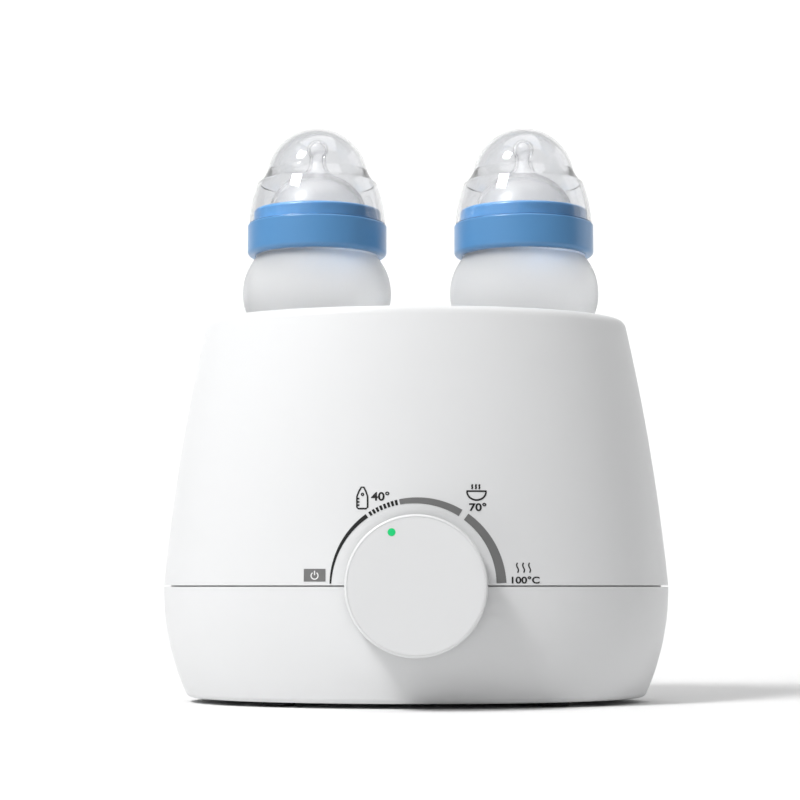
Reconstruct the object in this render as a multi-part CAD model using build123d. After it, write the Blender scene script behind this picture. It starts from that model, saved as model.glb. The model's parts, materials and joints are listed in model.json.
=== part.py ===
from build123d import *
import math
import os

# A twin-well bottle warmer: a tapered oval housing with two heated wells, a rotary control on its
# front, and a feeding bottle standing in each well. Millimetres, +Z up, and the front faces -Y.
# Everything is drawn about the housing's upright axis. At the end it is all moved back so that the
# origin lies on the table, midway between the front of the knob and the rear of the housing.

os.makedirs("parts", exist_ok=True)

# ---- housing
BODY_WIDTH = 230.0
BODY_DEPTH = 138.0
WALL = 2.5
FOOT_HEIGHT = 2.0
SEAM_Z = 52.0
SEAM_GAP = 0.6
DECK_Z = 173.8
DECK_THICKNESS = 4.2
DECK_HALF_WIDTH = 96.1
UPPER_BULGE = (107.4, 114.0)
LOWER_ARC_RADIUS = 116.0
TOP_EDGE_RADIUS = 4.5
BASE_EDGE_RADIUS = 3.5
TONGUE_HEIGHT = 3.4
TONGUE_CLEARANCE = 0.8
TONGUE_THICKNESS = 1.4
TONGUE_ROOT = 5.0
SEAT_CLEARANCE = 0.1
MERGE = 1.0

# ---- wells and heating
WELL_X = 47.9
WELL_RADIUS = 39.5
WELL_WALL = 1.0
WELL_FLOOR_Z = 72.0
WELL_FLOOR_THICKNESS = 1.5
WELL_CORNER = 5.0
DECK_HOLE_RADIUS = 41.0
GASKET_THICKNESS = 0.7
FLANGE_THICKNESS = 1.2
FLANGE_RADIUS = 42.6
RECESS_CLEARANCE = 0.3
HEATER_RADIUS = 30.0
HEATER_THICKNESS = 8.0
HEATER_TAB_Y = 37.0
HEATER_TAB_SPREAD = 6.0
BRIDGE_THICKNESS = 1.5
BRIDGE_SIZE = (206.0, 44.0)
BRIDGE_CORNER = 9.0
BRIDGE_POST_X = 96.0
BRIDGE_POST_RADIUS = 4.0
BRIDGE_PILOT_DEPTH = 14.0
DECK_WEB_LOW_Z = 100.0
STUD_RADIUS = 2.5
STUD_REACH = 8.0
STUD_WASHER = (6.0, 1.0)
STUD_NUT = (8.0, 4.0)
CUTOUT_OFFSET = 19.0
CUTOUT_RADIUS = 8.0
CUTOUT_HEIGHT = 8.0
CUTOUT_TAB_LENGTH = 8.0
CUTOUT_TAB_Y = 4.5
CUTOUT_NOSE_RADIUS = 4.8
TAB = (2.4, 0.4)

# ---- rotary control
KNOB_RADIUS = 29.8
KNOB_DRAFT = 0.4
KNOB_BACK = 69.8
KNOB_FRONT = 87.5
KNOB_WALL = 2.0
KNOB_EDGE = 1.0
FACE_RADIUS = 28.7
FACE_THICKNESS = 1.4
FACE_GAP = 0.05
POINTER_ANGLE = 24.4
POINTER_ORBIT = 24.5
POINTER_RADIUS = 1.65
POINTER_GAP = 0.05
HUB_RADIUS = 6.0
KNOB_RIBS = 6
KNOB_RIB_RISE = 9.0
SHAFT_GRIP = 0.03
SHAFT_RADIUS = 3.0
SHAFT_FLAT = 2.0
SHAFT_CLEARANCE = 0.05
BRACKET_FRONT = 55.5
BRACKET_THICKNESS = 1.5
CONTROL_DEPTH = 12.5
CONTROL_HALF_WIDTH = 12.0
CONTROL_TAG_LENGTH = 5.0
BUSHING_RADIUS = 4.5
BUSHING_FRONT = 62.5
SHAFT_HOLE_RADIUS = 11.0
CONTROL_WASHER = (7.2, 0.6)
CONTROL_NUT = (12.0, 2.6)
BRACKET_HALF_WIDTH = 19.0
BRACKET_Z = (8.0, 68.0)
BRACKET_FOOT_Y = -34.0
LAMP_BOARD = (12.0, 7.6, 1.2)
LAMPS = 6

# ---- base fittings
CASE_POST = (80.0, 33.0)
CASE_POST_RADIUS = 5.0
CASE_SPLIT_Z = 46.0
CASE_SHOULDER_Z = 38.0
CASE_TOWER_RADIUS = 6.5
CASE_HEAD = (3.5, 2.4)
CASE_SCREW_GRIP = 13.0
CASE_PILOT_DEPTH = 16.0
FOOT_PLACE = (60.0, 36.0)
FOOT_RADIUS = 7.0
FOOT_INSET = 1.0
BOARD_Z = 12.0
BOARD_THICKNESS = 1.6
BOARD_HALF_WIDTH = 42.0
BOARD_Y = (10.0, 42.0)
BOARD_POST = (37.0, 15.0, 37.0)
TERMINAL_Y = (10.5, 27.0)
TERMINAL_Z = 18.6
MAINS_TERMINALS = (-12.0, -4.3, 4.3, 12.0)
CONTROL_TAGS = (-6.0, 0.0, 6.0)
INLET_Z = 26.0
INLET_PIN_X = 4.3
INLET_PIN_RADIUS = 1.2
INLET_TAIL_Y = 42.6
INLET_PIN_LENGTH = 22.0
INLET_POCKET_Y = 65.6
INLET_FLANGE = (28.0, 18.0, 1.4)
INLET_BODY = (21.6, 13.6, 18.0)
INLET_SLOT = 9.0
INLET_RECESS_DEPTH = 10.8
SMALL_HEAD = (3.2, 2.2)
SCREW_RADIUS = 1.5
SCREW_CLEARANCE = 0.1
THROUGH_CLEARANCE = 0.2
VENT_ROWS = 7
VENT_PITCH = 6.0
VENT_SIZE = (46.0, 2.6)
VENT_MIDDLE_Y = -10.0
LEAD_RADIUS = 1.0

# ---- bottles, standing a little to the right of the middle of their wells
BOTTLE_SHIFT = 2.2
BOTTLE_WALL = 1.8
BOTTLE_BULGE_RADIUS = 34.3
BOTTLE_JOINT_RADIUS = 32.9
BOTTLE_WAIST_RADIUS = 29.5
BOTTLE_BASE_RADIUS = 31.4
BOTTLE_CURVES_Z = (104.0, 125.0, 151.5, 178.0, 186.8, 203.2)
NECK_RADIUS = 28.4
NECK_TOP_Z = 220.6
TEAT_WALL = 1.5
TEAT_FLANGE = (28.2, 2.0)
TEAT_AREOLA = ((23.2, 222.8), (19.1, 234.0), (7.6, 241.8))
TEAT_NECK = ((4.7, 245.6), (3.95, 251.6))
TEAT_TIP = (4.9, 254.5)
TEAT_HOLE_ORBIT = 1.25
TEAT_HOLE_RADIUS = 0.4
COLLAR_RADIUS = 32.2
COLLAR_BOTTOM_Z = 204.0
COLLAR_STEP_Z = 218.7
COLLAR_TOP_Z = 225.2
COLLAR_BAND_RADIUS = 29.4
COLLAR_PLATE = 2.3
COLLAR_BORE = 28.7
COLLAR_MOUTH = 24.2
CAP_WALL = 1.2
CAP_SKIRT = ((31.6, 219.0), (30.6, 227.5), (27.7, 238.0))
CAP_WAIST = ((24.7, 241.3), (23.2, 244.2))
CAP_DOME = (23.5, 240.5)

# ---- worked out from the dimensions above
HALF_WIDTH = BODY_WIDTH / 2
HALF_DEPTH = BODY_DEPTH / 2
OUTER_SQUASH = HALF_DEPTH / HALF_WIDTH
INNER_SQUASH = (HALF_DEPTH - WALL) / (HALF_WIDTH - WALL)
HEATER_TOP_Z = WELL_FLOOR_Z - WELL_FLOOR_THICKNESS
BRIDGE_TOP_Z = HEATER_TOP_Z - HEATER_THICKNESS
BRIDGE_BOTTOM_Z = BRIDGE_TOP_Z - BRIDGE_THICKNESS
HEATER_MIDDLE_Z = (BRIDGE_TOP_Z + HEATER_TOP_Z) / 2
CUTOUT_TAB_Z = BRIDGE_BOTTOM_Z - CUTOUT_HEIGHT - CUTOUT_TAB_LENGTH
BASE_FLOOR_Z = FOOT_HEIGHT + WALL
BRACKET_BACK = BRACKET_FRONT - BRACKET_THICKNESS
SHAFT_SHOULDER = (5.0, BRACKET_BACK - 6, BRACKET_BACK - 4)
LEDGE_Z = DECK_Z - FLANGE_THICKNESS - GASKET_THICKNESS
PILOT_RADIUS = SCREW_RADIUS + SCREW_CLEARANCE
CASE_POSTS = [(sx * CASE_POST[0], sy * CASE_POST[1]) for sx in (-1, 1) for sy in (-1, 1)]
FEET = [(sx * FOOT_PLACE[0], sy * FOOT_PLACE[1]) for sx in (-1, 1) for sy in (-1, 1)]
BOARD_POSTS = [(sx * BOARD_POST[0], y) for sx in (-1, 1) for y in BOARD_POST[1:]]
BRIDGE_POSTS = [(x, 0.0) for x in (0.0, -BRIDGE_POST_X, BRIDGE_POST_X)]
BRACKET_POSTS = [(-12.0, -42.0), (12.0, -42.0)]
THROUGH_RADIUS = PILOT_RADIUS + THROUGH_CLEARANCE
POINTER_PROUD = 0.1
FRAME_SHIFT = (KNOB_FRONT + POINTER_PROUD - HALF_DEPTH) / 2
SIDES = {"left": -WELL_X, "right": WELL_X}
BOTTLES = {"left": -WELL_X + BOTTLE_SHIFT, "right": WELL_X + BOTTLE_SHIFT}

BOTTOM = (Align.CENTER, Align.CENTER, Align.MIN)
CORNER = (Align.MIN, Align.MIN, Align.MIN)
# Parts of the rotary control are drawn with local +Z out of the front and local +Y up.
DIAL = Pos(0, 0, SEAM_Z) * Rot(90, 0, 0)


# ------------------------------------------------------------------------------------ helpers
def post(radius, low, high, x=0.0, y=0.0):
    """An upright cylinder from low to high."""
    return Pos(x, y, low) * Cylinder(radius, high - low, align=BOTTOM)


def ring(outer, inner, low, high, x=0.0, y=0.0):
    """An upright tube from low to high."""
    return post(outer, low, high, x, y) - post(inner, low, high, x, y)


def block(low, high):
    """A box from its lowest corner to its highest."""
    size = [b - a for a, b in zip(low, high)]
    return Pos(*low) * Box(*size, align=CORNER)


def lying(radius, low, high, x=0.0, z=0.0):
    """A cylinder along Y from low to high."""
    return Pos(x, low, z) * Rot(-90, 0, 0) * Cylinder(radius, high - low, align=BOTTOM)


def hexagon(across_flats, low, high, x=0.0, y=0.0):
    """An upright hexagonal bar."""
    flat = RegularPolygon(across_flats / 2, 6, major_radius=False)
    return Pos(x, y, low) * extrude(flat, high - low)


def oval_bar(half_width, half_depth, low, high):
    """An upright bar with an elliptical section."""
    return Pos(0, 0, low) * extrude(Ellipse(half_width, half_depth), high - low)


def turned(edges):
    """The solid that a closed outline in the XZ plane sweeps around Z."""
    return revolve(make_face(edges), Axis.Z)


def screw(shoulder, tip, head, x=0.0, y=0.0):
    """A pan-head screw that points up from its shoulder, with a cross recess in its head."""
    head_radius, head_height = head
    low = shoulder - head_height
    body = post(head_radius, low, shoulder) + post(SCREW_RADIUS, shoulder, tip)
    arm, half_slot, depth = head_radius * 0.6, 0.35, 1.1
    body -= block((-arm, -half_slot, low), (arm, half_slot, low + depth))
    body -= block((-half_slot, -arm, low), (half_slot, arm, low + depth))
    return Pos(x, y, 0) * body


def lead(points):
    """An insulated wire along straight runs joined by the largest tangent arcs that fit."""
    corners = [Vector(p) for p in points]
    runs = [b - a for a, b in zip(corners, corners[1:])]
    radii = []
    for run_in, run_out in zip(runs, runs[1:]):
        half_turn = math.radians(run_in.get_angle(run_out) / 2)
        radii.append(0.45 * min(run_in.length, run_out.length) / math.tan(half_turn))
    path = FilletPolyline(*corners, radius=radii)
    return sweep(Plane(path @ 0, z_dir=path % 0) * Circle(LEAD_RADIUS), path=path)


# ------------------------------------------------------------------------------------ housing
def upper_body(inset, top):
    """The solid inside the upper housing's side, moved in by inset and cut off flat at top."""
    low = SEAM_Z
    outline = [
        Line((0, 0, low), (HALF_WIDTH - inset, 0, low)),
        ThreePointArc(
            (HALF_WIDTH - inset, 0, low),
            (UPPER_BULGE[0] - inset, 0, UPPER_BULGE[1]),
            (DECK_HALF_WIDTH - inset, 0, DECK_Z),
        ),
        Line((DECK_HALF_WIDTH - inset, 0, DECK_Z), (0, 0, DECK_Z)),
        Line((0, 0, DECK_Z), (0, 0, low)),
    ]
    face = make_face(outline)
    corner = face.vertices().sort_by(Axis.Z)[-2:].sort_by(Axis.X)[-1]
    face = fillet(corner, TOP_EDGE_RADIUS) if top == DECK_Z else face
    squash = OUTER_SQUASH if inset == 0 else INNER_SQUASH
    solid = scale(revolve(face, Axis.Z), by=(1, squash, 1))
    if top < DECK_Z:
        solid -= block((-HALF_WIDTH, -HALF_WIDTH, top), (HALF_WIDTH, HALF_WIDTH, DECK_Z + 1))
    return solid


def lower_body(inset, bottom, edge_radius):
    """The solid inside the base's side, moved in by inset and cut off flat at bottom."""
    radius = LOWER_ARC_RADIUS - inset
    centre_x = HALF_WIDTH - LOWER_ARC_RADIUS

    def side(z):
        return (centre_x + math.sqrt(radius**2 - (SEAM_Z - z) ** 2), 0, z)

    outline = [
        Line((0, 0, bottom), side(bottom)),
        ThreePointArc(side(bottom), side((bottom + SEAM_Z) / 2), side(SEAM_Z)),
        Line(side(SEAM_Z), (0, 0, SEAM_Z)),
        Line((0, 0, SEAM_Z), (0, 0, bottom)),
    ]
    face = make_face(outline)
    corner = face.vertices().sort_by(Axis.Z)[:2].sort_by(Axis.X)[-1]
    face = fillet(corner, edge_radius)
    squash = OUTER_SQUASH if inset == 0 else INNER_SQUASH
    return scale(revolve(face, Axis.Z), by=(1, squash, 1))


def shaft_hole():
    """The round hole, half in each housing part, that the control's bushing looks out of."""
    return DIAL * post(SHAFT_HOLE_RADIUS, BRACKET_FRONT + 2 * MERGE, KNOB_BACK + MERGE)


def upper_shell():
    """The tapered cover with its deck, well holes and the posts that hang from it."""
    outer = upper_body(0.0, DECK_Z)
    edge = SEAM_Z + SEAM_GAP / 2
    under_deck = DECK_Z - MERGE
    half_web = 1.0
    shell = outer - upper_body(WALL, DECK_Z - DECK_THICKNESS)
    shell -= block((-HALF_WIDTH, -HALF_WIDTH, SEAM_Z - MERGE), (HALF_WIDTH, HALF_WIDTH, edge))
    posts = block((-half_web, -HALF_DEPTH, DECK_WEB_LOW_Z), (half_web, HALF_DEPTH, under_deck))
    for x, y in BRIDGE_POSTS:
        posts += post(BRIDGE_POST_RADIUS, BRIDGE_TOP_Z, under_deck, x, y)
    for x, y in CASE_POSTS:
        posts += post(CASE_POST_RADIUS, SEAM_Z, under_deck, x, y)
    shell += posts & outer
    for x, y in CASE_POSTS:
        shell += post(CASE_POST_RADIUS, CASE_SPLIT_Z, SEAM_Z + MERGE, x, y)
        shell -= post(PILOT_RADIUS, CASE_SPLIT_Z, CASE_SPLIT_Z + CASE_PILOT_DEPTH, x, y)
    for x, y in BRIDGE_POSTS:
        shell -= post(PILOT_RADIUS, BRIDGE_TOP_Z, BRIDGE_TOP_Z + BRIDGE_PILOT_DEPTH, x, y)
    for x in SIDES.values():
        shell -= post(DECK_HOLE_RADIUS, DECK_Z - DECK_THICKNESS - MERGE, DECK_Z + MERGE, x)
        shell -= post(FLANGE_RADIUS + RECESS_CLEARANCE, LEDGE_Z, DECK_Z + MERGE, x)
    return shell - shaft_hole()


def inlet_block(size, margin, low, high):
    """A block along Y around the socket's axis, wider and taller than size by margin all round."""
    half_width, half_height = size[0] / 2 + margin, size[1] / 2 + margin
    corner = (half_width, high, INLET_Z + half_height)
    return block((-half_width, low, INLET_Z - half_height), corner)


def base_shell():
    """The tub under the seam: floor, tongue, screw towers, board posts and the socket's pad."""
    edge = SEAM_Z - SEAM_GAP / 2
    outer = lower_body(0.0, FOOT_HEIGHT, BASE_EDGE_RADIUS)
    shell = outer - lower_body(WALL, BASE_FLOOR_Z, BASE_EDGE_RADIUS - WALL)
    shell += inlet_block(INLET_FLANGE, 4.0, INLET_POCKET_Y - 8, HALF_DEPTH) & outer
    shell -= block((-HALF_WIDTH, -HALF_WIDTH, edge), (HALF_WIDTH, HALF_WIDTH, SEAM_Z + MERGE))
    reach = WALL + TONGUE_CLEARANCE
    inside = reach + TONGUE_THICKNESS
    root = oval_bar(HALF_WIDTH - WALL / 2, HALF_DEPTH - WALL / 2, edge - TONGUE_ROOT, edge)
    tongue = oval_bar(HALF_WIDTH - reach, HALF_DEPTH - reach, edge, SEAM_Z + TONGUE_HEIGHT)
    hollow_low, hollow_high = edge - TONGUE_ROOT - MERGE, SEAM_Z + TONGUE_HEIGHT + MERGE
    hollow = oval_bar(HALF_WIDTH - inside, HALF_DEPTH - inside, hollow_low, hollow_high)
    shell += root + tongue - hollow
    for x, y in CASE_POSTS:
        shell += post(CASE_TOWER_RADIUS, FOOT_HEIGHT + MERGE, CASE_SPLIT_Z, x, y) & outer
        shell -= post(CASE_HEAD[0] + 0.4, 0, CASE_SHOULDER_Z, x, y)
        shell -= post(THROUGH_RADIUS, CASE_SHOULDER_Z, CASE_SPLIT_Z, x, y)
    for posts, radius, top in ((BOARD_POSTS, 3.2, BOARD_Z), (BRACKET_POSTS, 4.0, BRACKET_Z[0])):
        for x, y in posts:
            shell += ring(radius, PILOT_RADIUS, BASE_FLOOR_Z - WALL / 2, top, x, y)
    for x, y in FEET:
        shell -= post(FOOT_RADIUS + SEAT_CLEARANCE, 0, FOOT_HEIGHT + FOOT_INSET, x, y)
    for row in range(VENT_ROWS):
        y = VENT_MIDDLE_Y + (row - (VENT_ROWS - 1) / 2) * VENT_PITCH
        shell -= Pos(0, y, FOOT_HEIGHT) * extrude(SlotOverall(*VENT_SIZE), WALL)
    pocket = inlet_block(INLET_FLANGE, 0.2, INLET_POCKET_Y, HALF_DEPTH + MERGE)
    cutout = inlet_block(INLET_BODY, 0.2, INLET_POCKET_Y - 10, HALF_DEPTH)
    return shell - pocket - cutout - shaft_hole()


def rubber_feet():
    """Four round feet, each seated in a shallow recess."""
    foot = post(FOOT_RADIUS, 0, FOOT_HEIGHT + FOOT_INSET)
    foot = fillet(foot.edges().sort_by(Axis.Z)[0], 0.6)
    return [Pos(x, y, 0) * foot for x, y in FEET]


def case_screws():
    """Four long screws that hold the base to the upper shell."""
    tip = CASE_SPLIT_Z + CASE_SCREW_GRIP
    return [screw(CASE_SHOULDER_Z, tip, CASE_HEAD, x, y) for x, y in CASE_POSTS]


# ------------------------------------------------------------------------------------ wells
def well_cup(x):
    """A deep-drawn cup with a rolled flange and a threaded stud under its floor."""
    top = DECK_Z
    outer = post(WELL_RADIUS + WELL_WALL, WELL_FLOOR_Z - WELL_FLOOR_THICKNESS, top)
    outer = fillet(outer.edges().sort_by(Axis.Z)[0], WELL_CORNER + WELL_WALL)
    inner = post(WELL_RADIUS, WELL_FLOOR_Z, top)
    inner = fillet(inner.edges().sort_by(Axis.Z)[0], WELL_CORNER)
    flange = post(FLANGE_RADIUS, top - FLANGE_THICKNESS, top)
    flange = fillet(flange.edges().sort_by(Axis.Z)[-1], 0.8)
    stud = post(STUD_RADIUS, BRIDGE_BOTTOM_Z - STUD_REACH, WELL_FLOOR_Z - WELL_FLOOR_THICKNESS / 2)
    return Pos(x, 0, 0) * (outer + flange - inner + stud)


def well_gasket(x):
    """The flat silicone ring between a cup's flange and the deck."""
    inner = WELL_RADIUS + WELL_WALL + SEAT_CLEARANCE
    outer = FLANGE_RADIUS - SEAT_CLEARANCE
    return ring(outer, inner, LEDGE_Z, LEDGE_Z + GASKET_THICKNESS, x)


def heater(x):
    """A disc heater with a hole for the stud and two spade terminals at its rear."""
    disc = ring(HEATER_RADIUS, STUD_RADIUS + 0.6, BRIDGE_TOP_Z, HEATER_TOP_Z)
    groove_outer, groove_inner, groove_depth = 24.0, 22.0, 2.0
    disc -= ring(groove_outer, groove_inner, BRIDGE_TOP_Z, BRIDGE_TOP_Z + groove_depth)
    half_tab, half_thickness = TAB
    tab_root = 1.5
    for tab in (-HEATER_TAB_SPREAD, HEATER_TAB_SPREAD):
        low = (tab - half_tab, HEATER_RADIUS - tab_root, HEATER_MIDDLE_Z - half_thickness)
        disc += block(low, (tab + half_tab, HEATER_TAB_Y, HEATER_MIDDLE_Z + half_thickness))
    return Pos(x, 0, 0) * disc


def cutout_x(x):
    """Where the thermal cut-out of the well at x stands: outwards from the well's stud."""
    return x + math.copysign(CUTOUT_OFFSET, x)


def bridge_plate():
    """The pressed plate that the studs pull against, screwed to three posts of the upper shell."""
    outline = RectangleRounded(*BRIDGE_SIZE, BRIDGE_CORNER)
    plate = Pos(0, 0, BRIDGE_BOTTOM_Z) * extrude(outline, BRIDGE_THICKNESS)
    holes = [(THROUGH_RADIUS, x) for x, _ in BRIDGE_POSTS]
    holes += [(STUD_RADIUS + THROUGH_CLEARANCE, x) for x in SIDES.values()]
    holes += [(CUTOUT_NOSE_RADIUS + THROUGH_CLEARANCE, cutout_x(x)) for x in SIDES.values()]
    for radius, x in holes:
        plate -= post(radius, BRIDGE_BOTTOM_Z, BRIDGE_TOP_Z, x)
    return plate


def bridge_screws():
    """Three screws that hold the bridge plate up to its posts."""
    tip = BRIDGE_TOP_Z + BRIDGE_PILOT_DEPTH - 3
    return [screw(BRIDGE_BOTTOM_Z, tip, SMALL_HEAD, x, y) for x, y in BRIDGE_POSTS]


def stud_washers():
    """A washer on each cup's stud."""
    radius, thickness = STUD_WASHER
    low = BRIDGE_BOTTOM_Z - thickness
    bore = STUD_RADIUS + SEAT_CLEARANCE
    return [ring(radius, bore, low, BRIDGE_BOTTOM_Z, x) for x in SIDES.values()]


def stud_nuts():
    """A nut on each cup's stud."""
    across, height = STUD_NUT
    top = BRIDGE_BOTTOM_Z - STUD_WASHER[1]
    nut = hexagon(across, top - height, top) - post(STUD_RADIUS + 0.05, top - height, top)
    return [Pos(x, 0, 0) * nut for x in SIDES.values()]


def thermal_cutout(x):
    """A disc thermostat whose nose reaches the heater through the bridge plate."""
    bottom = BRIDGE_BOTTOM_Z - CUTOUT_HEIGHT
    body = post(CUTOUT_RADIUS, bottom, BRIDGE_BOTTOM_Z)
    body += post(CUTOUT_NOSE_RADIUS, BRIDGE_BOTTOM_Z - MERGE, BRIDGE_TOP_Z)
    half_tab, half_thickness = TAB
    for y in (-CUTOUT_TAB_Y, CUTOUT_TAB_Y):
        low = (-half_tab, y - half_thickness, CUTOUT_TAB_Z)
        body += block(low, (half_tab, y + half_thickness, bottom + MERGE))
    return Pos(cutout_x(x), 0, 0) * body


# ------------------------------------------------------------------------------------ control
def flatted(radius, flat, low, high):
    """A round bar with a flat on its upper side, as on a control shaft."""
    return post(radius, low, high) - block((-radius, flat, low), (radius, radius, high))


def pointer_place():
    """Where the pointer sits on the knob's face."""
    angle = math.radians(POINTER_ANGLE)
    return (-POINTER_ORBIT * math.sin(angle), POINTER_ORBIT * math.cos(angle))


def knob_skirt():
    """The knob's hollow body: drafted side, rounded rim, seat for the face disc, and hub."""
    height = KNOB_FRONT - KNOB_BACK
    body = Pos(0, 0, KNOB_BACK) * Cone(KNOB_RADIUS + KNOB_DRAFT, KNOB_RADIUS, height, align=BOTTOM)
    body = fillet(body.edges().sort_by(Axis.Z)[-1], KNOB_EDGE)
    seat = KNOB_FRONT - FACE_THICKNESS
    roof = seat - KNOB_WALL
    inner_radius = KNOB_RADIUS - KNOB_WALL
    body -= post(FACE_RADIUS, seat, KNOB_FRONT + MERGE)
    body -= post(inner_radius, KNOB_BACK - MERGE, roof)
    body += ring(HUB_RADIUS, SHAFT_RADIUS, KNOB_BACK + 1.5, roof + MERGE)
    body -= flatted(SHAFT_RADIUS + SHAFT_GRIP, SHAFT_FLAT + SHAFT_GRIP, KNOB_BACK, roof - MERGE)
    half_rib = 0.7
    low = (HUB_RADIUS - 0.5, -half_rib, KNOB_BACK + KNOB_RIB_RISE)
    rib = block(low, (inner_radius + 0.5, half_rib, roof + 0.5))
    for turn in range(KNOB_RIBS):
        body += Rot(0, 0, 90 + POINTER_ANGLE + (turn + 0.5) * 360 / KNOB_RIBS) * rib
    x, y = pointer_place()
    return DIAL * (body - post(POINTER_RADIUS + POINTER_GAP, roof - MERGE, KNOB_FRONT, x, y))


def knob_face():
    """The flat disc set into the knob's front, with a hole for the pointer."""
    disc = post(FACE_RADIUS - FACE_GAP, KNOB_FRONT - FACE_THICKNESS, KNOB_FRONT - FACE_GAP)
    disc = chamfer(disc.edges().sort_by(Axis.Z)[-1], FACE_GAP)
    return DIAL * (disc - post(POINTER_RADIUS + POINTER_GAP, KNOB_BACK, KNOB_FRONT, *pointer_place()))


def pointer_lens():
    """The light pipe behind the pointer: an arm from the hub that ends in the round window."""
    x, y = pointer_place()
    roof = KNOB_FRONT - FACE_THICKNESS - KNOB_WALL
    low, half_arm, arm_gap = roof - 3.0, 1.3, 0.4
    window = post(POINTER_RADIUS, low, KNOB_FRONT + POINTER_PROUD, x, y)
    window = fillet(window.edges().sort_by(Axis.Z)[-1], 0.4)
    arm = block((HUB_RADIUS + 1.4, -half_arm, low), (POINTER_ORBIT, half_arm, roof - arm_gap))
    return DIAL * (window + Rot(0, 0, 90 + POINTER_ANGLE) * arm)


def knob_clip():
    """The steel ring that closes the hub on the shaft."""
    thickness, gap, low, high = 0.8, 0.08, KNOB_BACK + 3, KNOB_BACK + 6
    return DIAL * ring(HUB_RADIUS + gap + thickness, HUB_RADIUS + gap, low, high)


def control_shaft():
    """The turning shaft: flatted in the knob, shouldered inside the control."""
    shoulder_radius, shoulder_back, shoulder_front = SHAFT_SHOULDER
    round_part = post(SHAFT_RADIUS, shoulder_back - 1, KNOB_BACK)
    flat_part = flatted(SHAFT_RADIUS, SHAFT_FLAT, KNOB_BACK, KNOB_FRONT - 6)
    return DIAL * (round_part + flat_part + post(shoulder_radius, shoulder_back, shoulder_front))


def rotary_control():
    """The switch and dimmer body with its threaded bushing and three solder tags."""
    back = BRACKET_BACK - CONTROL_DEPTH
    half = CONTROL_HALF_WIDTH
    body = block((-half, -half, back), (half, half, BRACKET_BACK))
    body = chamfer(body.edges().filter_by(Axis.Z), 3.0)
    body += post(BUSHING_RADIUS, BRACKET_BACK - 1, BUSHING_FRONT)
    shoulder_radius, shoulder_back, shoulder_front = SHAFT_SHOULDER
    body -= post(SHAFT_RADIUS + SHAFT_CLEARANCE, shoulder_back - 2, BUSHING_FRONT + MERGE)
    body -= post(shoulder_radius + 0.4, shoulder_back - 0.5, shoulder_front + 0.5)
    half_tag, tag_low, tag_thickness = 1.4, 2.0 - half, 0.8
    for x in CONTROL_TAGS:
        high = (x + half_tag, tag_low + tag_thickness, back + MERGE)
        body += block((x - half_tag, tag_low, back - CONTROL_TAG_LENGTH), high)
    return DIAL * body


def control_washer():
    """The washer between the bracket and the nut."""
    radius, thickness = CONTROL_WASHER
    bore = BUSHING_RADIUS + SEAT_CLEARANCE
    return DIAL * ring(radius, bore, BRACKET_FRONT, BRACKET_FRONT + thickness)


def control_nut():
    """The hexagon nut on the control's bushing."""
    across, height = CONTROL_NUT
    low = BRACKET_FRONT + CONTROL_WASHER[1]
    return DIAL * (hexagon(across, low, low + height) - post(BUSHING_RADIUS + 0.05, low, low + height))


def control_bracket():
    """The bent steel bracket that carries the control behind the seam."""
    low, high = BRACKET_Z
    half = BRACKET_HALF_WIDTH
    upright = block((-half, -BRACKET_FRONT, low), (half, -BRACKET_BACK, high))
    upright = fillet(upright.edges().filter_by(Axis.Y).group_by(Axis.Z)[-1], 5.0)
    foot = block((-half, -BRACKET_BACK, low), (half, BRACKET_FOOT_Y, low + BRACKET_THICKNESS))
    hole_radius = BUSHING_RADIUS + SEAT_CLEARANCE
    bracket = upright + foot - DIAL * post(hole_radius, BRACKET_BACK - MERGE, BRACKET_FRONT + MERGE)
    for x, y in BRACKET_POSTS:
        bracket -= post(THROUGH_RADIUS, low - MERGE, low + BRACKET_THICKNESS + MERGE, x, y)
    return bracket


def bracket_screws():
    """Two screws, heads up, that hold the bracket to the base."""
    flip = Pos(0, 0, BRACKET_Z[0] + BRACKET_THICKNESS) * Rot(180, 0, 0)
    return [Pos(x, y, 0) * flip * screw(0, 4.9, SMALL_HEAD) for x, y in BRACKET_POSTS]


# ------------------------------------------------------------------------------------ electrics
def control_board():
    """The circuit board on its four posts."""
    low = (-BOARD_HALF_WIDTH, BOARD_Y[0], BOARD_Z)
    board = block(low, (BOARD_HALF_WIDTH, BOARD_Y[1], BOARD_Z + BOARD_THICKNESS))
    for x, y in BOARD_POSTS:
        board -= post(THROUGH_RADIUS, BOARD_Z - MERGE, BOARD_Z + BOARD_THICKNESS + MERGE, x, y)
    return board


def board_components():
    """What stands on the board: relay, transformer, capacitors and the terminal block."""
    top = BOARD_Z + BOARD_THICKNESS
    relay = fillet(block((-32, 19, top), (-17, 37, top + 13)).edges().group_by(Axis.Z)[-1], 0.8)
    core = block((17, 20, top), (32, 36, top + 5)) + block((19, 18, top + 5), (30, 38, top + 14))
    capacitors = []
    for radius, height, x, y in ((3.0, 9.0, -22.0, 14.5), (3.0, 9.0, 20.0, 13.5)):
        can = post(radius, top, top + height, x, y)
        capacitors.append(fillet(can.edges().sort_by(Axis.Z)[-1], 0.8))
    mains_block = block((-15, 18.5, top), (15, TERMINAL_Y[1], top + 10))
    for x in MAINS_TERMINALS:
        mains_block -= lying(LEAD_RADIUS + 0.1, TERMINAL_Y[1] - 4, TERMINAL_Y[1] + 1, x, TERMINAL_Z)
    control_block = block((-9, TERMINAL_Y[0], top), (9, 17.5, top + 10))
    for x in CONTROL_TAGS:
        control_block -= lying(LEAD_RADIUS + 0.1, TERMINAL_Y[0] - 1, TERMINAL_Y[0] + 3, x, TERMINAL_Z)
    return [relay, core, *capacitors, mains_block, control_block]


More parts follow.
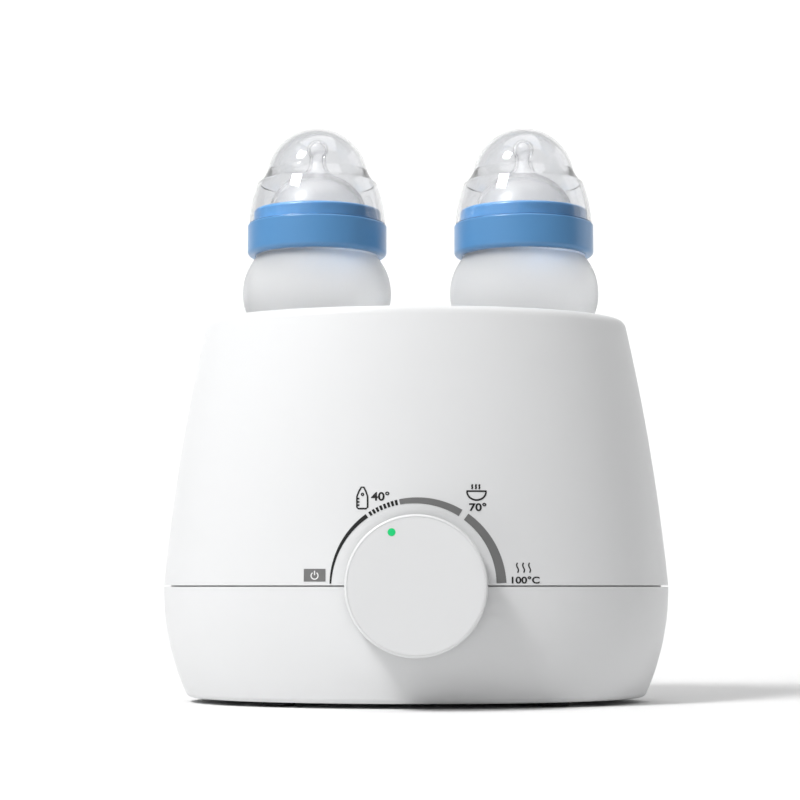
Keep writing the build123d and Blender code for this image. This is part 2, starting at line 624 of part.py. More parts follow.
def board_screws():
    """Four screws, heads up, that hold the board."""
    flip = Pos(0, 0, BOARD_Z + BOARD_THICKNESS) * Rot(180, 0, 0)
    return [Pos(x, y, 0) * flip * screw(0, 8.5, SMALL_HEAD) for x, y in BOARD_POSTS]


def inlet_socket():
    """The mains socket's moulding: flange, body, and a rounded recess around two pins."""
    width, height, thickness = INLET_FLANGE
    outline = RectangleRounded(width, height, 3)
    face = Pos(0, INLET_POCKET_Y + thickness, INLET_Z) * Rot(90, 0, 0)
    flange = face * extrude(outline, thickness)
    body = inlet_block(INLET_BODY, 0.0, INLET_POCKET_Y - INLET_BODY[2], INLET_POCKET_Y)
    slot = SlotOverall(2 * INLET_PIN_X + INLET_SLOT, INLET_SLOT)
    socket = flange + body - face * extrude(slot, INLET_RECESS_DEPTH)
    for x in (-INLET_PIN_X, INLET_PIN_X):
        socket -= lying(INLET_PIN_RADIUS, INLET_TAIL_Y, INLET_POCKET_Y - 8, x, INLET_Z)
    return socket


def inlet_pins():
    """Two contact pins with solder tails."""
    pin = Cylinder(INLET_PIN_RADIUS, INLET_PIN_LENGTH, align=BOTTOM)
    pin = fillet(pin.edges().sort_by(Axis.Z)[-1], 0.7)
    pin = Pos(0, INLET_TAIL_Y, INLET_Z) * Rot(-90, 0, 0) * pin
    return [Pos(x, 0, 0) * pin for x in (-INLET_PIN_X, INLET_PIN_X)]


def heating_leads():
    """One loop: a terminal, a heater, its cut-out, and the same back through the other well."""
    turn_y, low_z = HEATER_TAB_Y + 8, CUTOUT_TAB_Z - 9
    cutout = cutout_x(WELL_X)
    wires = []
    for side in (-1, 1):
        terminal = side * MAINS_TERMINALS[-1]
        inner = side * (WELL_X - HEATER_TAB_SPREAD)
        outer = side * (WELL_X + HEATER_TAB_SPREAD)
        wires.append(lead([
            (terminal, TERMINAL_Y[1] - 2, TERMINAL_Z),
            (terminal, TERMINAL_Y[1] + 14, TERMINAL_Z),
            (inner, turn_y, HEATER_MIDDLE_Z),
            (inner, HEATER_TAB_Y, HEATER_MIDDLE_Z),
        ]))
        wires.append(lead([
            (outer, HEATER_TAB_Y, HEATER_MIDDLE_Z),
            (outer, turn_y, HEATER_MIDDLE_Z),
            (side * (cutout - 5), turn_y - 5, low_z),
            (side * cutout, CUTOUT_TAB_Y, low_z),
            (side * cutout, CUTOUT_TAB_Y, CUTOUT_TAB_Z),
        ]))
    wires.append(lead([
        (-cutout, -CUTOUT_TAB_Y, CUTOUT_TAB_Z),
        (-cutout, -CUTOUT_TAB_Y, low_z),
        (cutout, -CUTOUT_TAB_Y, low_z),
        (cutout, -CUTOUT_TAB_Y, CUTOUT_TAB_Z),
    ]))
    return wires


def internal_leads():
    """The wires from the socket, the control and the heaters to the board's terminals."""
    wires = heating_leads()
    for x in (-INLET_PIN_X, INLET_PIN_X):
        points = [
            (x, INLET_TAIL_Y, INLET_Z),
            (x, INLET_TAIL_Y - 5.5, INLET_Z),
            (x, TERMINAL_Y[1] + 3.5, TERMINAL_Z),
            (x, TERMINAL_Y[1] - 2, TERMINAL_Z),
        ]
        wires.append(lead(points))
    tag_y = CONTROL_DEPTH + CONTROL_TAG_LENGTH - BRACKET_BACK
    tag_z = SEAM_Z - CONTROL_HALF_WIDTH + 2.4
    for x in CONTROL_TAGS:
        points = [
            (x, tag_y, tag_z),
            (x, tag_y + 15, tag_z),
            (x, TERMINAL_Y[0] - 14.5, TERMINAL_Z),
            (x, TERMINAL_Y[0] + 2, TERMINAL_Z),
        ]
        wires.append(lead(points))
    return wires


def led_board():
    """The ring-shaped light board around the control's nut, with six lamps."""
    outer, inner, thickness = LAMP_BOARD
    top = BRACKET_FRONT + thickness
    board = DIAL * ring(outer, inner, BRACKET_FRONT, top)
    lamp = block((8.7, -1.1, top), (10.7, 1.1, top + 1.4))
    turns = [(n + 0.5) * 360 / LAMPS for n in range(LAMPS)]
    return [board, *[DIAL * Rot(0, 0, turn) * lamp for turn in turns]]


# ------------------------------------------------------------------------------------ bottles
def bottle_outline(inset, bottom):
    """Half of the bottle's hourglass outline, moved in by inset, closed along the axis."""
    low_bulge_z, low_joint_z, waist_z, high_joint_z, high_bulge_z, shoulder_z = BOTTLE_CURVES_Z
    bulge = BOTTLE_BULGE_RADIUS - inset
    joint = BOTTLE_JOINT_RADIUS - inset
    base = BOTTLE_BASE_RADIUS - inset
    waist = BOTTLE_WAIST_RADIUS - inset
    neck = NECK_RADIUS - inset
    return [
        Line((0, 0, bottom), (base - 3, 0, bottom)),
        ThreePointArc((base - 3, 0, bottom), (base - 0.9, 0, bottom + 0.9), (base, 0, bottom + 3)),
        ThreePointArc((base, 0, bottom + 3), (bulge, 0, low_bulge_z), (joint, 0, low_joint_z)),
        ThreePointArc((joint, 0, low_joint_z), (waist, 0, waist_z), (joint, 0, high_joint_z)),
        ThreePointArc((joint, 0, high_joint_z), (bulge, 0, high_bulge_z), (neck, 0, shoulder_z)),
        Line((neck, 0, shoulder_z), (neck, 0, NECK_TOP_Z)),
        Line((neck, 0, NECK_TOP_Z), (0, 0, NECK_TOP_Z)),
        Line((0, 0, NECK_TOP_Z), (0, 0, bottom)),
    ]


def bottle(x):
    """A blown hourglass bottle with a plain wide neck."""
    outside = turned(bottle_outline(0.0, WELL_FLOOR_Z))
    inside = turned(bottle_outline(BOTTLE_WALL, WELL_FLOOR_Z + BOTTLE_WALL))
    return Pos(x, 0, 0) * (outside - inside)


def teat_solid(inset):
    """The teat's dome and tip, moved in by inset, filled down to its flange's underside."""
    (foot_r, foot_z), (mid_r, mid_z), (top_r, top_z) = TEAT_AREOLA
    (curve_r, curve_z), (neck_r, neck_z) = TEAT_NECK
    tip_r, tip_z = TEAT_TIP
    drop = 0.7 * inset
    top = (0, 0, tip_z + tip_r - inset)
    return turned([
        Line((0, 0, NECK_TOP_Z), (foot_r - inset, 0, NECK_TOP_Z)),
        Line((foot_r - inset, 0, NECK_TOP_Z), (foot_r - inset, 0, foot_z)),
        ThreePointArc(
            (foot_r - inset, 0, foot_z),
            (mid_r - drop, 0, mid_z - drop),
            (top_r - drop, 0, top_z - inset),
        ),
        ThreePointArc(
            (top_r - drop, 0, top_z - inset),
            (curve_r - inset, 0, curve_z - drop),
            (neck_r - inset, 0, neck_z),
        ),
        ThreePointArc((neck_r - inset, 0, neck_z), (tip_r - inset, 0, tip_z), top),
        Line(top, (0, 0, NECK_TOP_Z)),
    ])


def teat(x):
    """A silicone teat with the flange that the collar clamps, and three small holes in its tip."""
    flange_radius, flange_thickness = TEAT_FLANGE
    body = teat_solid(0.0) + post(flange_radius, NECK_TOP_Z, NECK_TOP_Z + flange_thickness)
    body -= teat_solid(TEAT_WALL)
    for turn in (30, 150, 270):
        hole = post(TEAT_HOLE_RADIUS, TEAT_TIP[1], TEAT_TIP[1] + 2 * TEAT_TIP[0], TEAT_HOLE_ORBIT)
        body -= Rot(0, 0, turn) * hole
    return Pos(x, 0, 0) * body


def collar(x):
    """The screw collar: plain skirt, narrower upper band and open top plate."""
    skirt = post(COLLAR_RADIUS, COLLAR_BOTTOM_Z, COLLAR_STEP_Z)
    skirt = fillet(skirt.edges().sort_by(Axis.Z)[0], 2.2)
    skirt = fillet(skirt.edges().sort_by(Axis.Z)[-1], 0.8)
    band = post(COLLAR_BAND_RADIUS, COLLAR_STEP_Z - 1, COLLAR_TOP_Z)
    band = fillet(band.edges().sort_by(Axis.Z)[-1], 1.4)
    body = skirt + band
    body -= post(COLLAR_BORE, COLLAR_BOTTOM_Z - 1, COLLAR_TOP_Z - COLLAR_PLATE)
    return Pos(x, 0, 0) * (body - post(COLLAR_MOUTH, COLLAR_BOTTOM_Z, COLLAR_TOP_Z + 1))


def cap_solid(inset, bottom):
    """The two-lobed dome, moved in by inset and filled down to bottom."""
    skirt, waist = [
        [(radius - inset, 0, z) for radius, z in points] for points in (CAP_SKIRT, CAP_WAIST)
    ]
    low = (skirt[0][0], 0, bottom)
    radius, centre_z = CAP_DOME
    dome = radius - inset
    high_angle = math.asin((waist[1][2] - centre_z) / radius)
    joint = (dome * math.cos(high_angle), 0, centre_z + dome * math.sin(high_angle))
    middle = (dome * math.cos(math.radians(50)), 0, centre_z + dome * math.sin(math.radians(50)))
    top = (0, 0, centre_z + dome)
    return turned([
        Line((0, 0, bottom), low),
        ThreePointArc(low, skirt[1], skirt[2]),
        ThreePointArc(skirt[2], waist[0], joint),
        ThreePointArc(joint, middle, top),
        Line(top, (0, 0, bottom)),
    ])


def cap(x):
    """The clear travel cap that sits on the collar's step."""
    low = CAP_SKIRT[0][1]
    return Pos(x, 0, 0) * (cap_solid(0.0, low) - cap_solid(CAP_WALL, low))


def make_all():
    """Every node's shape by name."""
    made = {
        "upper_shell": upper_shell(),
        "base_shell": base_shell(),
        "rubber_feet": rubber_feet(),
        "case_screws": case_screws(),
        "bridge_plate": bridge_plate(),
        "bridge_screws": bridge_screws(),
        "stud_washers": stud_washers(),
        "stud_nuts": stud_nuts(),
        "knob_skirt": knob_skirt(),
        "knob_face": knob_face(),
        "knob_clip": knob_clip(),
        "pointer_lens": pointer_lens(),
        "control_shaft": control_shaft(),
        "rotary_control": rotary_control(),
        "control_washer": control_washer(),
        "control_nut": control_nut(),
        "control_bracket": control_bracket(),
        "bracket_screws": bracket_screws(),
        "control_board": control_board(),
        "board_components": board_components(),
        "board_screws": board_screws(),
        "inlet_socket": inlet_socket(),
        "inlet_pins": inlet_pins(),
        "internal_leads": internal_leads(),
        "led_board": led_board(),
    }
    for side, x in SIDES.items():
        made[f"well_cup_{side}"] = well_cup(x)
        made[f"well_gasket_{side}"] = well_gasket(x)
        made[f"heater_{side}"] = heater(x)
        made[f"thermal_cutout_{side}"] = thermal_cutout(x)
    for side, x in BOTTLES.items():
        made[f"bottle_{side}"] = bottle(x)
        made[f"collar_{side}"] = collar(x)
        made[f"teat_{side}"] = teat(x)
        made[f"cap_{side}"] = cap(x)
    return made


TO_ORIGIN = Pos(0, FRAME_SHIFT, 0)
for name, shape in make_all().items():
    if isinstance(shape, list):
        whole = Compound(children=[TO_ORIGIN * piece for piece in shape])
    else:
        whole = TO_ORIGIN * shape
    export_step(whole, f"parts/{name}.step")
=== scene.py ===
"""Bottle warmer: materials, dial print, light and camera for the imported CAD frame. Metres."""
import json
import math

import bpy
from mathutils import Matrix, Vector
from mathutils.bvhtree import BVHTree


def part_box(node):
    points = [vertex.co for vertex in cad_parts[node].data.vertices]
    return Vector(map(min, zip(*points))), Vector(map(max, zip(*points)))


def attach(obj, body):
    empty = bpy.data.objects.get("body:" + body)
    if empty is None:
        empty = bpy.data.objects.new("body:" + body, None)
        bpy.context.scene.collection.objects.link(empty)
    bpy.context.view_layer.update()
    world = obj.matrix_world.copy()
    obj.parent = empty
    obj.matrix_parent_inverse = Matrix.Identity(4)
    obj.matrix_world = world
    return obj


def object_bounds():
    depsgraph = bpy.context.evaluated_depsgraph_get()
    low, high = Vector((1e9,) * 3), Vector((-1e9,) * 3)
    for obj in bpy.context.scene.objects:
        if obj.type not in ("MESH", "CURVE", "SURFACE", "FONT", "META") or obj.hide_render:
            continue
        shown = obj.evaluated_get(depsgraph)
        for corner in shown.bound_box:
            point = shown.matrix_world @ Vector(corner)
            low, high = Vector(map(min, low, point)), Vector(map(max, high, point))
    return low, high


MM = 0.001

# ---------------------------------------------------------------- driving values
# The printed scale: lengths in metres, angles in degrees clockwise from nine o'clock.
PRINT_GAP = 0.12 * MM
SCALE_RADIUS = 36.4 * MM
SCALE_THIN = 0.75 * MM
SCALE_THICK = 4.3 * MM
SCALE_STEP = 1.5
SCALE_LOW = (1.5, 55)
SCALE_MIDDLE = (79, 121.5)
SCALE_HIGH = (126, 178)
DASHES = 8
DASH_START = 57.0
DASH_PITCH = 2.7
DASH_WIDTH = 1.7

# The printed symbols, in millimetres. A place is seen from the front, about the dial's centre.
LINE = 0.72
POWER_LINE = 0.5
STEAM_LINE = 0.55
WISP_SWAY = 0.09
FIGURE_BOLD = 0.025
OFF_PLACE = (-43.2, 4.6)
OFF_BLOCK = (9.4, 5.4)

# How light each print colour is, from 0 to 1.
INK = 0.004
SCALE_GREY = 0.165
BLOCK_GREY = 0.16
SYMBOL_WHITE = 0.8

# The textures: noise scales on the object in metres, and bump heights in metres.
COLOUR_DRIFT = 5.0
GLOSS_DRIFT = 14.0
RIPPLE = 900.0
RIPPLE_STRENGTH = 0.05
RIPPLE_HEIGHT = 0.00001
GRAIN = 2600.0
GRAIN_HEIGHT = 0.00006
SCRATCH = 240.0
SCRATCH_HEIGHT = 0.00005
METAL_SPOTS = 70.0
INK_SPOTS = 300.0

# The studio: azimuth and elevation in degrees, distance and size in metres, power in watts.
SOFTBOXES = {
    "key_left": (-47, 48, 1.7, (0.45, 0.45), 25),
    "softbox_left": (-42, 28, 1.8, (2.0, 1.0), 1.5),
    "edge_right": (112, 18, 1.6, (1.0, 1.6), 4),
    "overhead": (25, 84, 1.7, (1.4, 1.4), 9),
}
AIM_HEIGHT = 0.11
WALL_LIGHT_PLACE = (0.0, 0.5, 1.2)
WALL_LIGHT_AIM = (0.0, 1.5, 0.84)
WALL_LIGHT_SIZE = (3.0, 0.8)
WALL_LIGHT_POWER = 13
WORLD_STRENGTH = 0.20
SWEEP_HALF_WIDTH = 4.0
SWEEP_DEPTH = 0.9
SWEEP_CURVE = 0.6
SWEEP_HEIGHT = 3.0
SWEEP_GREY = 0.85

# The camera: level with the seam, looking a little up and a little to the left.
LENS = 92.0
SENSOR_WIDTH = 36.0
DISTANCE = 0.9388
LOOK_UP = 5.2
LOOK_LEFT = 0.445

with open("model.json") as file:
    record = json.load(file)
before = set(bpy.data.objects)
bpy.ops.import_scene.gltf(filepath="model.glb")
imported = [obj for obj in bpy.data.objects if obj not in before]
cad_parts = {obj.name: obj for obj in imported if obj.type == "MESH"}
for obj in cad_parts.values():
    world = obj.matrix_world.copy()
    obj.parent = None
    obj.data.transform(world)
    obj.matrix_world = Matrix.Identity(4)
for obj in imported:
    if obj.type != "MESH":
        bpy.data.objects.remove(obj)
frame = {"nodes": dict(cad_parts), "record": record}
cad_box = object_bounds()


# ---------------------------------------------------------------- places, from the frame
def corners(node):
    """A node's lowest and highest corners as vectors."""
    low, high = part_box(node)
    return Vector(low), Vector(high)


upper_low, upper_high = corners("upper_shell")
skirt_low, skirt_high = corners("knob_skirt")
dial_centre = (skirt_low + skirt_high) / 2
SEAM_Z = dial_centre.z
# The upright axis of the housing, on which the picture is centred.
AXIS_Y = (upper_low.y + upper_high.y) / 2


# ---------------------------------------------------------------- material helpers
class Nodes:
    """A material's node tree with its Principled shader and short ways to build on it."""

    def __init__(self, name):
        self.material = bpy.data.materials.new(name)
        self.material.use_nodes = True
        self.tree = self.material.node_tree
        self.shader = self.tree.nodes["Principled BSDF"]
        self.place = self.add("ShaderNodeTexCoord").outputs["Object"]

    def add(self, kind, **settings):
        """A node of this kind, with each setting put on a property or an input of that name."""
        node = self.tree.nodes.new(kind)
        for key, value in settings.items():
            if hasattr(node, key):
                setattr(node, key, value)
            else:
                node.inputs[key.replace("_", " ")].default_value = value
        return node

    def link(self, source, target):
        self.tree.links.new(source, target)

    def set(self, **values):
        """Values on the shader's own sockets."""
        for key, value in values.items():
            self.shader.inputs[key.replace("_", " ")].default_value = value

    def noise(self, scale, detail=3.0, stretch=(1, 1, 1)):
        """Noise over the object's own coordinates, stretched along an axis if asked."""
        mapping = self.add("ShaderNodeMapping")
        mapping.inputs["Scale"].default_value = stretch
        self.link(self.place, mapping.inputs["Vector"])
        noise = self.add("ShaderNodeTexNoise")
        noise.inputs["Scale"].default_value = scale
        noise.inputs["Detail"].default_value = detail
        self.link(mapping.outputs[0], noise.inputs["Vector"])
        return noise.outputs["Fac"]

    def ramp(self, source, low, high, start=0.35, end=0.65):
        """A colour ramp between two greys or colours."""
        ramp = self.add("ShaderNodeValToRGB")
        for element, place, value in zip(ramp.color_ramp.elements, (start, end), (low, high)):
            element.position = place
            element.color = (*value, 1.0) if hasattr(value, "__len__") else (value, value, value, 1.0)
        self.link(source, ramp.inputs["Fac"])
        return ramp.outputs["Color"]

    def bump(self, source, strength, distance):
        """A bump of this height in metres on the shader's normal, over any that is there."""
        bump = self.add("ShaderNodeBump")
        bump.inputs["Strength"].default_value = strength
        bump.inputs["Distance"].default_value = distance
        self.link(source, bump.inputs["Height"])
        normal = self.shader.inputs["Normal"]
        if normal.is_linked:
            self.link(normal.links[0].from_socket, bump.inputs["Normal"])
        self.link(bump.outputs["Normal"], normal)

    def let_lamps_through(self):
        """Thin clear plastic: what is inside is lit as if it stood in the open."""
        clear = self.add("ShaderNodeBsdfTransparent")
        mix = self.add("ShaderNodeMixShader")
        self.link(self.add("ShaderNodeLightPath").outputs["Is Shadow Ray"], mix.inputs[0])
        self.link(self.shader.outputs[0], mix.inputs[1])
        self.link(clear.outputs[0], mix.inputs[2])
        self.link(mix.outputs[0], self.tree.nodes["Material Output"].inputs["Surface"])


def moulded(name, color, roughness, spread=0.006, tint=0.003, grain=0.0):
    """Moulded plastic: faint colour drift, uneven gloss, and an optional fine moulded grain."""
    n = Nodes(name)
    low, high = [c * (1 - tint) for c in color], [min(1, c * (1 + tint)) for c in color]
    n.link(n.ramp(n.noise(COLOUR_DRIFT, 1.0), low, high, 0.2, 0.8), n.shader.inputs["Base Color"])
    gloss = n.ramp(n.noise(GLOSS_DRIFT, 1.0), roughness - spread, roughness + spread, 0.2, 0.8)
    n.link(gloss, n.shader.inputs["Roughness"])
    n.bump(n.noise(RIPPLE, 2.0), RIPPLE_STRENGTH, RIPPLE_HEIGHT)
    if grain:
        n.bump(n.noise(GRAIN, 2.0), grain, GRAIN_HEIGHT)
    return n


def metal(name, color, roughness, stretch=(1, 1, 60), scratch=0.15, contrast=0.14):
    """Metal with fine lines along one direction."""
    n = Nodes(name)
    n.set(Metallic=1.0)
    lines = n.noise(SCRATCH, 6.0, stretch)
    dark = [c * (1 - contrast) for c in color]
    n.link(n.ramp(lines, dark, color), n.shader.inputs["Base Color"])
    spots = n.noise(METAL_SPOTS, 5.0, stretch)
    n.link(n.ramp(spots, roughness * 0.75, roughness * 1.3), n.shader.inputs["Roughness"])
    n.bump(lines, scratch, SCRATCH_HEIGHT)
    return n


# ---------------------------------------------------------------- materials
def housing_white():
    n = moulded("housing_white", (0.75, 0.755, 0.76), 0.34)
    n.set(Specular_IOR_Level=0.4, Coat_Weight=0.05, Coat_Roughness=0.35)
    return n


def dial_white():
    n = moulded("dial_white", (0.75, 0.755, 0.76), 0.38)
    n.set(Coat_Weight=0.2, Coat_Roughness=0.15)
    return n


def dial_face():
    return moulded("dial_face", (0.745, 0.75, 0.755), 0.5, grain=0.12)


def pointer_green():
    n = moulded("pointer_green", (0.002, 0.40, 0.13), 0.5)
    n.set(Emission_Color=(0.0, 0.24, 0.06, 1.0), Emission_Strength=1.0)
    return n


def collar_blue():
    n = moulded("collar_blue", (0.09, 0.255, 0.50), 0.30)
    n.set(Coat_Weight=0.2, Coat_Roughness=0.2)
    return n


def bottle_frosted():
    n = moulded("bottle_frosted", (0.84, 0.845, 0.85), 0.5)
    n.set(Transmission_Weight=0.8, IOR=1.2)
    n.let_lamps_through()
    return n


def teat_silicone():
    n = moulded("teat_silicone", (0.94, 0.94, 0.945), 0.25)
    n.set(Transmission_Weight=0.9, IOR=1.25)
    n.let_lamps_through()
    return n


def cap_clear():
    n = moulded("cap_clear", (0.83, 0.835, 0.845), 0.05)
    n.set(Transmission_Weight=1.0, IOR=1.45)
    n.let_lamps_through()
    return n


MATERIALS = {
    "housing_white": housing_white,
    "dial_white": dial_white,
    "dial_face": dial_face,
    "pointer_green": pointer_green,
    "collar_blue": collar_blue,
    "bottle_frosted": bottle_frosted,
    "teat_silicone": teat_silicone,
    "cap_clear": cap_clear,
    "deck_metal": lambda: metal("deck_metal", (0.86, 0.865, 0.87), 0.42, (1, 1, 1), 0.03, 0.03),
    "gasket_silicone": lambda: moulded("gasket_silicone", (0.30, 0.31, 0.32), 0.55),
    "foot_rubber": lambda: moulded("foot_rubber", (0.025, 0.025, 0.027), 0.75, grain=0.3),
    "zinc_steel": lambda: metal("zinc_steel", (0.66, 0.67, 0.69), 0.28),
    "bridge_steel": lambda: metal("bridge_steel", (0.60, 0.61, 0.62), 0.36),
    "heater_disc": lambda: metal("heater_disc", (0.56, 0.57, 0.58), 0.5, (1, 1, 1)),
    "cutout_body": lambda: moulded("cutout_body", (0.02, 0.02, 0.022), 0.4),
    "shaft_steel": lambda: metal("shaft_steel", (0.62, 0.63, 0.64), 0.25, (1, 60, 1)),
    "control_black": lambda: moulded("control_black", (0.018, 0.018, 0.02), 0.42),
    "nut_brass": lambda: metal("nut_brass", (0.72, 0.53, 0.25), 0.25),
    "board_green": lambda: moulded("board_green", (0.012, 0.13, 0.05), 0.35),
    "component_grey": lambda: moulded("component_grey", (0.05, 0.055, 0.06), 0.4),
    "lamp_board": lambda: moulded("lamp_board", (0.78, 0.79, 0.78), 0.4),
    "socket_white": lambda: moulded("socket_white", (0.70, 0.705, 0.71), 0.38),
    "pin_brass": lambda: metal("pin_brass", (0.80, 0.66, 0.38), 0.22, (1, 60, 1)),
    "lead_jacket": lambda: moulded("lead_jacket", (0.40, 0.03, 0.02), 0.35),
}

for entry in frame["record"]["subparts"]:
    slot = entry["material_slot"]
    if callable(MATERIALS[slot]):
        MATERIALS[slot] = MATERIALS[slot]().material
    node = frame["nodes"][entry["node"]]
    node.data.materials.clear()
    node.data.materials.append(MATERIALS[slot])


# ---------------------------------------------------------------- the dial's print
shell = frame["nodes"]["upper_shell"]
shell_tree = BVHTree.FromPolygons(
    [v.co for v in shell.data.vertices], [p.vertices for p in shell.data.polygons]
)


def on_shell(across, up, gap):
    """The point this far in front of the housing's face, at a place about the dial's centre."""
    start = Vector((dial_centre.x + across, cad_box[0][1] - 0.1, SEAM_Z + up))
    hit, normal, _, _ = shell_tree.ray_cast(start, Vector((0, 1, 0)))
    return hit + normal * gap if normal.y < 0 else hit - normal * gap


print_material = Nodes("print_ink")
shade = print_material.add("ShaderNodeAttribute", attribute_name="shade").outputs["Color"]
print_material.link(shade, print_material.shader.inputs["Base Color"])
ink_gloss = print_material.ramp(print_material.noise(INK_SPOTS), 0.45, 0.6)
print_material.link(ink_gloss, print_material.shader.inputs["Roughness"])


def printed(name, vertices, faces, shades, lift=1):
    """A printed mark: front-view points laid on the housing, with one grey for each point."""
    mesh = bpy.data.meshes.new(name)
    mesh.from_pydata([on_shell(x, y, lift * PRINT_GAP) for x, y in vertices], [], faces)
    colors = mesh.color_attributes.new("shade", "FLOAT_COLOR", "POINT")
    for slot, grey in zip(colors.data, shades):
        slot.color = (grey, grey, grey, 1.0)
    mesh.materials.append(print_material.material)
    piece = bpy.data.objects.new(name, mesh)
    bpy.context.scene.collection.objects.link(piece)
    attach(piece, "housing")
    return piece


def polar(angle, radius):
    """Across and up for an angle in degrees, counted clockwise from nine o'clock."""
    turn = math.radians(180 - angle)
    return radius * math.cos(turn), radius * math.sin(turn)


def scale_band(name, start, end):
    """One stretch of the dial's scale: thicker further clockwise, black at first and then grey."""
    steps = max(2, round((end - start) / SCALE_STEP))
    grey = INK if end < SCALE_MIDDLE[0] else SCALE_GREY
    vertices, shades = [], []
    for step in range(steps + 1):
        angle = start + (end - start) * step / steps
        part = angle / 180
        half = (SCALE_THIN + (SCALE_THICK - SCALE_THIN) * part) / 2
        vertices += [polar(angle, SCALE_RADIUS - half), polar(angle, SCALE_RADIUS + half)]
        shades += [grey, grey]
    faces = [(i, i + 1, i + 3, i + 2) for i in range(0, 2 * steps, 2)]
    printed(name, vertices, faces, shades)


def ribbon(path, width, closed=False):
    """Vertices and faces of a line of this width along a path."""
    count = len(path)
    vertices = []
    for place, point in enumerate(path):
        before = path[place - 1] if place or closed else point
        after = path[(place + 1) % count] if place + 1 < count or closed else point
        along = (Vector(after) - Vector(before)).normalized()
        side = Vector((-along.y, along.x)) * width / 2
        vertices += [Vector(point) + side, Vector(point) - side]
    steps = count if closed else count - 1
    ends = 2 * count
    faces = [(2 * i, 2 * i + 1, (2 * i + 3) % ends, (2 * i + 2) % ends) for i in range(steps)]
    return vertices, faces


def mark(name, centre, shapes, grey, lift=1):
    """Several (vertices, faces) shapes in millimetres about a centre, as one printed piece."""
    vertices, faces = [], []
    for points, polygons in shapes:
        faces += [tuple(i + len(vertices) for i in polygon) for polygon in polygons]
        vertices += [((centre[0] + x) * MM, (centre[1] + y) * MM) for x, y in points]
    printed(name, vertices, faces, [grey] * len(vertices), lift)


def oval(centre, width, height, start=0, end=360, steps=24):
    """Points of an ellipse, or of the arc of it between two angles counted from the right."""
    turns = [math.radians(start + (end - start) * i / steps) for i in range(steps + 1)]
    points = [
        (centre[0] + width / 2 * math.cos(t), centre[1] + height / 2 * math.sin(t)) for t in turns
    ]
    return points[:-1] if end - start == 360 else points


def patch(width, height, columns=8, rows=4):
    """A filled rectangle in cells small enough to follow the housing's curve."""
    points = [
        (width * (i / columns - 0.5), height * (j / rows - 0.5))
        for j in range(rows + 1) for i in range(columns + 1)
    ]
    wide = columns + 1
    faces = [
        (j * wide + i, j * wide + i + 1, (j + 1) * wide + i + 1, (j + 1) * wide + i)
        for j in range(rows) for i in range(columns)
    ]
    return points, faces


def figures(words, width, height):
    """The filled shapes of a number, fitted to a width and height about its centre."""
    curve = bpy.data.curves.new("figures", "FONT")
    curve.body = words
    curve.offset = FIGURE_BOLD
    text = bpy.data.objects.new("figures", curve)
    bpy.context.scene.collection.objects.link(text)
    bpy.context.view_layer.update()
    mesh = text.to_mesh()
    points = [v.co.xy.copy() for v in mesh.vertices]
    faces = [tuple(p.vertices) for p in mesh.polygons]
    low = Vector((min(p.x for p in points), min(p.y for p in points)))
    high = Vector((max(p.x for p in points), max(p.y for p in points)))
    size = high - low
    middle = (low + high) / 2
    bpy.data.objects.remove(text)
    bpy.data.curves.remove(curve)
    return [
        ((p.x - middle.x) * width / size.x, (p.y - middle.y) * height / size.y) for p in points
    ], faces


def steam(across, bottom, height, lean, width):
    """One rising wavy line."""
    steps = 10
    path = []
    for i in range(steps + 1):
        part = i / steps
        sway = WISP_SWAY * height * math.sin(2 * math.pi * part)
        path.append((across + lean * part + sway, bottom + height * part))
    return ribbon(path, width)


def bottle_outline():
    """The feeding bottle symbol: pointed outline, a ring and graduation ticks."""
    side, foot, shoulder, top = 2.3, -4.6, 0.6, 4.6
    outline = [(-side, shoulder), (-side, foot + 0.6), (-side + 0.6, foot)]
    outline += [(side - 0.6, foot), (side, foot + 0.6), (side, shoulder)]
    outline += [(1.5, 2.9), (0.6, top), (-0.4, top), (-1.4, 2.9)]
    ticks = [ribbon([(-side, y), (-side + 1.1, y)], LINE) for y in (-3.1, -1.7, -0.3)]
    ring = ribbon(oval((0.1, 1.5), 1.0, 1.0, steps=12), LINE * 0.7, closed=True)
    return [ribbon(outline, LINE, closed=True), ring] + ticks


def bowl_outline():
    """The warm food symbol: a bowl with three wisps of steam."""
    bowl = oval((0, 0.5), 8.2, 7.4, 180, 360)
    rim = ribbon([(-4.3, 0.6), (4.3, 0.6)], LINE)
    wisps = [steam(x, 1.5, 2.0, 0.5, LINE) for x in (-2.1, -0.5, 1.0)]
    return [ribbon(bowl, LINE), rim] + wisps


def power_symbol():
    """A broken ring with a bar in the gap."""
    broken_ring = oval((0, -0.2), 3.0, 3.0, -235, 55)
    return [ribbon(broken_ring, POWER_LINE), ribbon([(0, 0), (0, 1.9)], POWER_LINE)]


def steam_symbol():
    """Three rising wisps."""
    return [steam(x, -2.1, 4.2, 0, STEAM_LINE) for x in (-2.6, 0, 2.6)]


mark("print_off_block", OFF_PLACE, [patch(*OFF_BLOCK)], BLOCK_GREY)
mark("print_off_symbol", OFF_PLACE, power_symbol(), SYMBOL_WHITE, lift=2)
mark("print_bottle_symbol", (-22.9, 37.5), bottle_outline(), INK)
mark("print_bottle_number", (-15.2, 38.2), [figures("40\u00b0", 7.8, 3.9)], INK)
mark("print_bowl_symbol", (25.9, 39.8), bowl_outline(), INK)
mark("print_bowl_number", (26.4, 33.6), [figures("70\u00b0", 7.4, 3.6)], INK)
mark("print_steam_symbol", (45.9, 7.8), steam_symbol(), INK)
mark("print_steam_number", (46.8, 2.6), [figures("100\u00b0C", 12.1, 3.1)], INK)
scale_band("print_scale_low", *SCALE_LOW)
for dash in range(DASHES):
    start = DASH_START + DASH_PITCH * dash
    scale_band(f"print_scale_dash_{dash}", start, start + DASH_WIDTH)
scale_band("print_scale_middle", *SCALE_MIDDLE)
